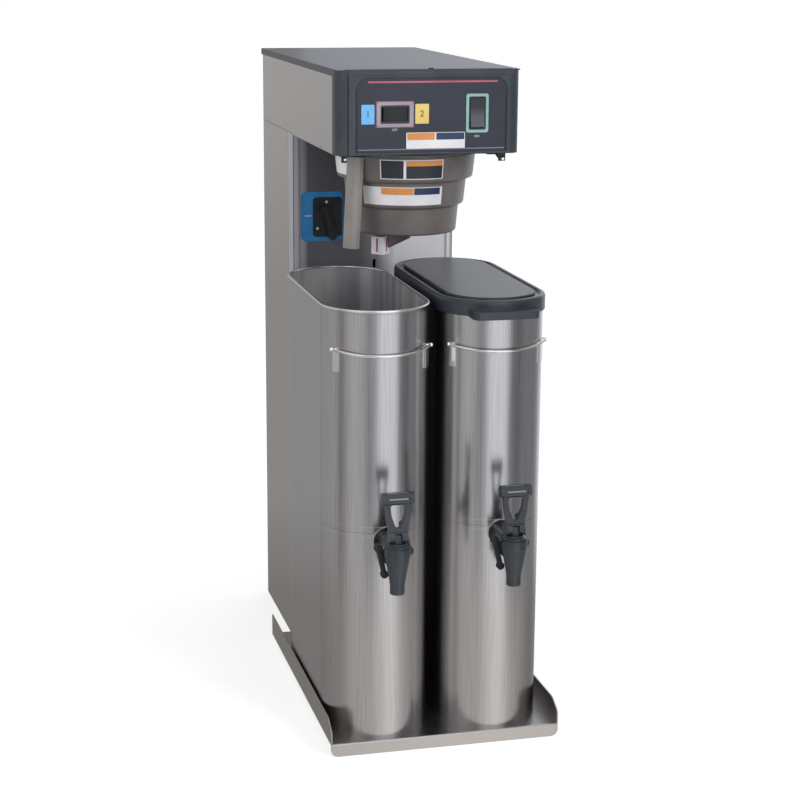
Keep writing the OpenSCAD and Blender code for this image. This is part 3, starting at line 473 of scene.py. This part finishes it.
orange_film = moulded_plastic("printed_film_orange", "#e09a55", "#d98f48", 0.4, 0.3, 0.006)
navy_film = moulded_plastic("printed_film_navy", "#2b3a63", "#263457", 0.4, 0.3, 0.006)
white_film = moulded_plastic("printed_film_white", "#eeeef0", "#e4e4e8", 0.42, 0.3, 0.006)
magenta_film = moulded_plastic("printed_film_magenta", "#b0306a", "#a02a60", 0.42, 0.3, 0.006)
ink_white = moulded_plastic("printed_ink_white", "#d5d8de", "#cbced6", 0.5, 0.3, 0.004)
ink_dark = moulded_plastic("printed_ink_dark", "#2c3038", "#272b32", 0.5, 0.3, 0.004)

overlay_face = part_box("control_overlay")[0][1]
right_way, up_way = (1, 0, 0), (0, 0, 1)


def on_panel(x_mm, z_mm, proud_mm=0.0):
    """A place on the control panel's film."""
    return (x_mm * MM, overlay_face - proud_mm * MM, z_mm * MM)


for name, finish, place, size_mm in (
        ("panel_sticker", white_film, (8.7, 786.2), (78, 20.6)),
        ("panel_sticker_orange", orange_film, (-10.8, 791.4, 0.12), (36.6, 8.8)),
        ("panel_sticker_navy", navy_film, (28.2, 791.4, 0.12), (37.4, 8.8))):
    film(name, finish, on_panel(*place), right_way, up_way, size_mm, corner_mm=1)
print("panel sticker made")

# %% [markdown]
# The selector's pale frame has a fine red outline. A plane is inset by the line's width, the inner face
# is deleted, and the ring that is left gets a wall.


# %% Outline of the selector frame
def outline(name, finish, low, high, face_y, line_mm, grow_mm, thick_mm, body):
    """A thin printed outline round a box that faces the front. It stands out by grow_mm on every side."""
    deselect()
    bpy.ops.mesh.primitive_plane_add(size=1)
    piece = bpy.context.object
    grown = 2 * grow_mm * MM
    centre = ((low[0] + high[0]) / 2, face_y, (low[2] + high[2]) / 2)
    set_down(piece, centre, right_way, up_way, (high[0] - low[0] + grown, high[2] - low[2] + grown))
    bpy.ops.object.mode_set(mode="EDIT")
    bpy.ops.mesh.select_all(action="SELECT")
    bpy.ops.mesh.inset(thickness=line_mm * MM)
    bpy.ops.mesh.delete(type="FACE")
    bpy.ops.object.mode_set(mode="OBJECT")
    give_wall(piece, thick_mm)
    finish_piece(piece, name, finish, body)


frame_low, frame_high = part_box("selector_bezel")
outline("selector_outline", accent_film, frame_low, frame_high, overlay_face, line_mm=1.1, grow_mm=0.9,
        thick_mm=0.3, body="machine")
print("selector outline made")

# %% [markdown]
# The few words and numbers are the plain ones that any such switch carries. Each is a text object that
# is given a little depth and made a mesh before it is set down on the panel. The font's capitals are
# about 0.7 of its size, so the size follows from the height that they should have.


# %% Printed words
capital_share = 0.7


def printed_word(name, body_text, centre, tall_mm, finish=ink_white):
    """Text on the front of the control panel."""
    deselect()
    bpy.ops.object.text_add()
    word = bpy.context.object
    word.data.body = body_text
    word.data.size = tall_mm * MM / capital_share
    word.data.extrude = 0.06 * MM
    word.data.align_x = "CENTER"
    word.data.align_y = "CENTER"
    bpy.ops.object.convert(target="MESH")
    word = bpy.context.object
    set_down(word, centre, right_way, up_way)
    finish_piece(word, name, finish, "machine")


tab_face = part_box("blue_tab")[0][1]
for name, text, place in (("mark_one", "1", (-80.9, 820.2)), ("mark_two", "2", (-9.8, 820.3))):
    printed_word(name, text, (place[0] * MM, tab_face, place[1] * MM), 8, ink_dark)
printed_word("mark_off", "OFF", on_panel(-45.6, 800.3), 3)
printed_word("mark_on", "ON", on_panel(63.5, 790.5), 3)
print("words printed")

# %% [markdown]
# The housing's sheets meet in fine dark lines: where the hood sits on the trunk and where the splash panel's
# side meets the trunk. A like dark line at the fold of its front flange is painted shade. The film of the
# control panel lies in a shallow recess: a pale strip along its bottom ledge is a painted highlight, and dark
# strips down its sides are painted shade.

# %% Seams and recess edges
seam_shade = moulded_plastic("sheet_seam_shadow", "#5a5654", "#524e4c", 0.6, 0.3, 0.004)
ledge_painted_highlight = moulded_plastic("recess_ledge_painted_highlight", "#7c858f", "#747d87", 0.4, 0.3, 0.004)
recess_painted_shade = moulded_plastic("recess_side_painted_shade", "#15191f", "#11151a", 0.5, 0.3, 0.004)

trunk_low, trunk_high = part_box("trunk_shell")
hood_seam_y = (trunk_low[1] + trunk_high[1]) / 2 - 17.5 * MM
splash_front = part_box("splash_panel")[0][1]
upright_middle, upright_seam = 384 * MM, (0.9, 760)
hood_seam, seam_thick = (234, 0.8), 0.04
front_way, back_way = (0, -1, 0), (0, 1, 0)
for side, x, along in (("left", trunk_low[0], front_way), ("right", trunk_high[0], back_way)):
    film(f"seam_hood_{side}", seam_shade, (x, hood_seam_y, trunk_high[2]), along, up_way, hood_seam,
         thick_mm=seam_thick)
    film(f"seam_splash_{side}", seam_shade, (x, trunk_low[1], upright_middle), along, up_way, upright_seam,
         thick_mm=seam_thick)
# The dark line at each fold of the front flange is painted shade.
for side, x_mm in (("left", -118.2), ("right", 118.2)):
    film(f"seam_fold_{side}", seam_shade, (x_mm * MM, splash_front, upright_middle), right_way, up_way,
         upright_seam, thick_mm=seam_thick)
# A painted highlight along the recess's bottom ledge, and painted shade down its sides.
film("recess_ledge", ledge_painted_highlight, on_panel(3.5, 775.3), right_way, up_way, (194, 1.3))
film("recess_left", recess_painted_shade, on_panel(-95.3, 811), right_way, up_way, (1.5, 78))
film("recess_right", recess_painted_shade, on_panel(102.5, 811), right_way, up_way, (1.1, 78))
print("seams drawn")

# %% [markdown]
# The open dispenser's edge is rolled to a small bead, which shows as a bright line. It starts as a torus.
# Its front half moves forward and its back half moves back, and the faces between them stretch into the
# two straight runs.

# %% Rolled rim
shell_low, shell_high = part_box("left_shell")
half_wide = (shell_high[0] - shell_low[0]) / 2
half_long = (shell_high[1] - shell_low[1]) / 2
bead, bead_inset = 1.7 * MM, 0.9 * MM
deselect()
bpy.ops.mesh.primitive_torus_add(major_segments=96, minor_segments=12, major_radius=half_wide - bead_inset,
                                 minor_radius=bead)
rim = bpy.context.object
for vertex in rim.data.vertices:
    vertex.co.y += math.copysign(half_long - half_wide, vertex.co.y)
rim_place = ((shell_low[0] + shell_high[0]) / 2, (shell_low[1] + shell_high[1]) / 2, shell_high[2] - bead)
set_down(rim, rim_place, right_way, back_way)
bpy.ops.object.shade_smooth_by_angle(angle=math.radians(40))
finish_piece(rim, "left_rim", steel_bright, "left_dispenser")
print("rim rolled")

# %% [markdown]
# The funnel's labels are wrapped round its conical tiers. Each starts as the label's end: a thin upright
# strip that leans with the wall. Spin sweeps it round the funnel's axis from the first angle to the
# last. The angles are measured from straight ahead towards the right, which is the other way round than
# Spin's own, so it gets a negative one. Each tier is given as two pairs of radius and height. A colour
# field lies on its label, so it is lifted by second_layer.

# %% Wrapped labels
funnel_low, funnel_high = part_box("funnel")
funnel_x, funnel_y = (funnel_low[0] + funnel_high[0]) / 2, (funnel_low[1] + funnel_high[1]) / 2
upper_tier = ((91.4, 731.5), (94.5, 760.8))
middle_tier = ((79.4, 696.3), (82.0, 722.5))
step_degrees, second_layer = 3, 0.14


def wrapped_label(name, finish, tier, heights, angles, lift_mm=0.02, thick_mm=0.12):
    """A label on one tier of the funnel, between two heights in mm and two angles in degrees."""
    (r0, z0), (r1, z1) = tier
    slope = (r1 - r0) / (z1 - z0)
    lean = math.atan(slope)
    middle = sum(heights) / 2
    tall_mm = (heights[1] - heights[0]) / math.cos(lean)
    radius = r0 + slope * (middle - z0) + lift_mm + thick_mm / 2
    start = math.radians(angles[0])
    outward = Vector((math.sin(start), -math.cos(start), 0))
    along_wall = outward * math.sin(lean) + Vector((0, 0, math.cos(lean)))
    through_wall = outward * math.cos(lean) - Vector((0, 0, math.sin(lean)))
    deselect()
    bpy.ops.mesh.primitive_plane_add(size=1)
    label = bpy.context.object
    centre = Vector((funnel_x, funnel_y, middle * MM)) + outward * radius * MM
    set_down(label, centre, through_wall, along_wall, (thick_mm * MM, tall_mm * MM))
    bpy.ops.object.mode_set(mode="EDIT")
    bpy.ops.mesh.select_all(action="SELECT")
    steps = max(2, round((angles[1] - angles[0]) / step_degrees))
    bpy.ops.mesh.spin(steps=steps, angle=-math.radians(angles[1] - angles[0]),
                      center=(funnel_x, funnel_y, 0), axis=up_way)
    bpy.ops.mesh.select_all(action="SELECT")
    bpy.ops.mesh.remove_doubles(threshold=1e-6)
    bpy.ops.mesh.normals_make_consistent(inside=False)
    bpy.ops.object.mode_set(mode="OBJECT")
    bpy.ops.object.shade_smooth_by_angle(angle=math.radians(30))
    finish_piece(label, name, finish, "brew_funnel")


wrapped_label("label_upper", white_film, upper_tier, (733, 758.5), (-34.7, 18.2))
wrapped_label("label_upper_left", ink_dark, upper_tier, (734, 757.5), (-33.8, -15.4), second_layer)
wrapped_label("label_upper_right", ink_dark, upper_tier, (734, 750.5), (-13.2, 17.4), second_layer)
wrapped_label("label_upper_band", orange_film, upper_tier, (750.5, 757.5), (-13.2, 17.4), second_layer)
wrapped_label("label_middle", white_film, middle_tier, (697.5, 721.5), (-56.5, 22.6))
wrapped_label("label_middle_orange", orange_film, middle_tier, (711.5, 720.5), (-36.6, -6.0), second_layer)
wrapped_label("label_middle_navy", navy_film, middle_tier, (711.5, 720.5), (-5.5, 20.2), second_layer)
wrapped_label("label_side_upper", white_film, upper_tier, (734, 757), (-101, -68))
print("funnel labels wrapped")

# %% [markdown]
# The square spout tip carries a narrow magenta bar on each side that shows. The tip is turned, so the
# bars' directions come from the tip's own angle: the handle's direction plus its twist.

# %% Bars on the spout tip
handle_turn, tip_twist = 56, 12
tip_reach, tip_half, tip_bar_z = 48 * MM, 9.25 * MM, 639.5 * MM
spout = math.radians(270 - handle_turn)
tip = Vector((funnel_x + tip_reach * math.cos(spout), funnel_y + tip_reach * math.sin(spout), tip_bar_z))
for index, quarter in enumerate((0, 90, 180, 270)):
    facing = spout + math.radians(tip_twist + quarter)
    outward = Vector((math.cos(facing), math.sin(facing), 0))
    aside = Vector((-math.sin(facing), math.cos(facing), 0))
    film(f"tip_bar_{index}", magenta_film, tip + outward * tip_half, aside, up_way, (2.5, 18), "brew_funnel")
print("tip bars made")

# %% [markdown]
# Each faucet's lever has a pale printed strip on the face of its cross bar that the hand pulls, and a pale
# strip on top of the bar that is a painted highlight along its upper edge. Two white dots on the valve's
# black face and a dash on its blue plate mark the lever's positions.

# %% Lever strips and valve marks
pale_ink_and_highlight = moulded_plastic("printed_strip_and_highlight_pale", "#9aa0a6", "#90969c", 0.45, 0.3, 0.004)
strip_size = (24, 1.6)
front_strip_z, top_highlight_z, bar_half_deep = 362 * MM, 368.5 * MM, 6.5 * MM
for side in ("left", "right"):
    lever_low, lever_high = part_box(f"{side}_lever")
    middle_x = (lever_low[0] + lever_high[0]) / 2
    bonnet_low, bonnet_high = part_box(f"{side}_bonnet")
    axis_y = (bonnet_low[1] + bonnet_high[1]) / 2
    film(f"{side}_lever_strip_front", pale_ink_and_highlight, (middle_x, axis_y - bar_half_deep, front_strip_z), right_way,
         up_way, strip_size, f"{side}_faucet_handle")
    # Painted highlight on top of the cross bar.
    film(f"{side}_lever_highlight_top", pale_ink_and_highlight, (middle_x, axis_y, top_highlight_z), right_way, back_way,
         strip_size, f"{side}_faucet_handle")
for name, carrier, x_mm, z_mm, wide, tall in (("valve_dot_high", "valve_face", -69, 668.7, 4, 4),
                                              ("valve_dot_low", "valve_face", -82.5, 630.5, 4, 4),
                                              ("valve_dash", "valve_plate", -95.8, 649, 10.4, 1.4)):
    film(name, ink_white, (x_mm * MM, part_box(carrier)[0][1], z_mm * MM), right_way, up_way, (wide, tall),
         corner_mm=min(wide, tall) * 0.49)
print("strips and marks made")

# %% [markdown]
# The studio: a white floor, a white world, two soft lamps and a ring of cards. The world is white where
# the camera and reflections look, and dimmer as a light source, so that colours render about as written.
# The floor glows a little to the camera alone, which brings it to the photograph's white and keeps the
# shadow soft.


# %% World and floor
def studio_world(light_strength):
    """A world that looks white but lights the scene with light_strength."""
    world = bpy.data.worlds.new("studio")
    bpy.context.scene.world = world
    world.use_nodes = True
    tree = world.node_tree
    tree.nodes.clear()
    path = add_node(tree, "ShaderNodeLightPath")
    direct = add_node(tree, "ShaderNodeMath", {"operation": "MAXIMUM"}, _0=path.outputs["Is Camera Ray"],
                      _1=path.outputs["Is Glossy Ray"])
    seen = add_node(tree, "ShaderNodeMath", {"operation": "MAXIMUM"}, _0=direct.outputs[0],
                    _1=path.outputs["Is Transmission Ray"])
    strength = add_node(tree, "ShaderNodeMapRange", Value=seen.outputs[0], To_Min=light_strength, To_Max=1.0)
    glow = add_node(tree, "ShaderNodeBackground", Color=(1, 1, 1, 1), Strength=strength.outputs[0])
    add_node(tree, "ShaderNodeOutputWorld", Surface=glow.outputs[0])


studio_world(light_strength=0.55)
bpy.context.scene.view_settings.view_transform = "Standard"

floor_glow, floor_size = 0.5, 40
floor_material, tree, shader = new_material("studio_floor_white")
shader.inputs["Base Color"].default_value = linear("#f4f4f4")
shader.inputs["Roughness"].default_value = 0.9
shader.inputs["Specular IOR Level"].default_value = 0.1
path = add_node(tree, "ShaderNodeLightPath")
lift = add_node(tree, "ShaderNodeMapRange", Value=path.outputs["Is Camera Ray"], To_Min=0.0,
                To_Max=floor_glow)
shader.inputs["Emission Color"].default_value = (1, 1, 1, 1)
tree.links.new(lift.outputs[0], shader.inputs["Emission Strength"])

deselect()
bpy.ops.mesh.primitive_plane_add(size=floor_size, location=(0, 0, cad_low[2]))
floor = bpy.context.object
floor.name = "studio_floor"
floor.data.materials.append(floor_material)
floor.visible_glossy = False
print("world and floor set")

# %% [markdown]
# A large lamp at the front right is the key, and a weaker one at the left fills the shadows. They light
# the scene but are not mirrored in it, since the ring of cards gives what a glossy surface shows.


# %% Lamps
def soft_lamp(name, place, aim, size, power):
    """A large soft lamp of the given width and height in metres, turned to its aim."""
    data = bpy.data.lights.new(name, "AREA")
    data.shape = "RECTANGLE"
    data.size, data.size_y = size
    data.energy = power
    lamp = bpy.data.objects.new(name, data)
    lamp.location = place
    lamp.rotation_euler = (Vector(aim) - Vector(place)).to_track_quat("-Z", "Y").to_euler()
    lamp.visible_glossy = False
    bpy.context.collection.objects.link(lamp)


soft_lamp("key_front_right", (1.6, -3.0, 1.9), (0, -0.1, 0.45), (1.2, 1.8), 42)
soft_lamp("fill_left", (-2.6, -1.6, 1.6), (0, 0, 0.5), (1.5, 2.0), 18)
print("lamps set")

# %% [markdown]
# Polished and brushed steel shows hardly any colour of its own, only what stands around it. A product
# photographer rings such an object with grey and white cards, and so does this step: an open cylinder
# that only reflections see. Its tone runs through a colour ramp by compass angle, measured from straight
# ahead towards the right. A wide bright card stands at the front, from just left of straight ahead to
# thirty degrees right, with a dark one beside it, which gives the rounded dispensers their bright and
# dark bands. The cylinder goes on below the floor with softer tones, for what the lower half of the
# steel mirrors is the grey table top. From front_from on the cards are a little cool, and the table is
# a little warm. The cards get brighter with height, up to top_strength.

# %% Ring of cards
ring_y, ring_r = -0.2, 0.85
ring_low, ring_high = -0.9, 1.8
card_tones = [
    (-180, 0.40), (-160, 0.36), (-128, 0.44), (-98, 0.50), (-90, 0.44), (-86, 0.22), (-80, 0.24), (-76, 0.42),
    (-62, 0.62), (-46, 0.62), (-36, 0.55), (-31, 0.36), (-23, 0.36), (-18, 0.46), (-12, 0.66), (-7, 1.10),
    (29, 1.10), (34, 0.24), (54, 0.16), (61, 0.30), (96, 0.28), (112, 0.40), (124, 0.95), (180, 0.60),
]
table_tones = [
    (-180, 0.25), (-150, 0.27), (-100, 0.36), (-80, 0.39), (-60, 0.58), (-24, 0.60), (0, 0.84), (14, 1.05),
    (28, 0.98), (44, 0.62), (70, 0.46), (84, 0.34), (104, 0.26), (130, 0.34), (180, 0.34),
]
neutral, cool, warm = (1.0, 1.0, 1.0), (0.955, 0.996, 1.05), (1.022, 1.0, 0.978)
front_from = -40
table_low, table_high = -0.1, 0.08
bright_low, bright_high, top_strength = 0.45, 0.8, 1.36


def tones_by_angle(tree, part_of_turn, tones, hue_left, hue_front):
    """A colour ramp over the full circle, from tones given at angles. The hues tint its two parts."""
    stops = []
    for degrees, tone in tones:
        hue = hue_front if degrees > front_from else hue_left
        stops.append(((degrees + 180) / 360, tuple(tone * part for part in hue) + (1.0,)))
    return add_node(tree, "ShaderNodeValToRGB", stops=stops, Fac=part_of_turn)


deselect()
ring_middle = (0, ring_y, (ring_high + ring_low) / 2)
bpy.ops.mesh.primitive_cylinder_add(vertices=128, radius=ring_r, depth=ring_high - ring_low,
                                    end_fill_type="NOTHING", location=ring_middle)
bpy.ops.object.transform_apply(location=True)
ring = bpy.context.object
ring.name = "card_ring"
ring_material = bpy.data.materials.new("studio_card_ring")
ring_material.use_nodes = True
tree = ring_material.node_tree
tree.nodes.clear()
spot = object_axes(tree)
toward_front = add_node(tree, "ShaderNodeMath", {"operation": "SUBTRACT"}, _0=ring_y, _1=spot.outputs["Y"])
angle = add_node(tree, "ShaderNodeMath", {"operation": "ARCTAN2"}, _0=spot.outputs["X"],
                 _1=toward_front.outputs[0])
turn_part = add_node(tree, "ShaderNodeMapRange", Value=angle.outputs[0], From_Min=-math.pi, From_Max=math.pi)
cards = tones_by_angle(tree, turn_part.outputs[0], card_tones, neutral, cool)
table = tones_by_angle(tree, turn_part.outputs[0], table_tones, warm, warm)
above_table = add_node(tree, "ShaderNodeMapRange", Value=spot.outputs["Z"], From_Min=table_low,
                       From_Max=table_high)
tone = add_node(tree, "ShaderNodeMix", {"data_type": "RGBA"}, _0=above_table.outputs[0],
                _6=table.outputs["Color"], _7=cards.outputs["Color"])
strength = add_node(tree, "ShaderNodeMapRange", Value=spot.outputs["Z"], From_Min=bright_low,
                    From_Max=bright_high, To_Min=1.0, To_Max=top_strength)
glow = add_node(tree, "ShaderNodeEmission", Color=tone.outputs[2], Strength=strength.outputs[0])
add_node(tree, "ShaderNodeOutputMaterial", Surface=glow.outputs[0])
ring.data.materials.append(ring_material)
ring.visible_camera = ring.visible_diffuse = ring.visible_shadow = ring.visible_transmission = False
print("studio set,", len(card_tones), "card tones")
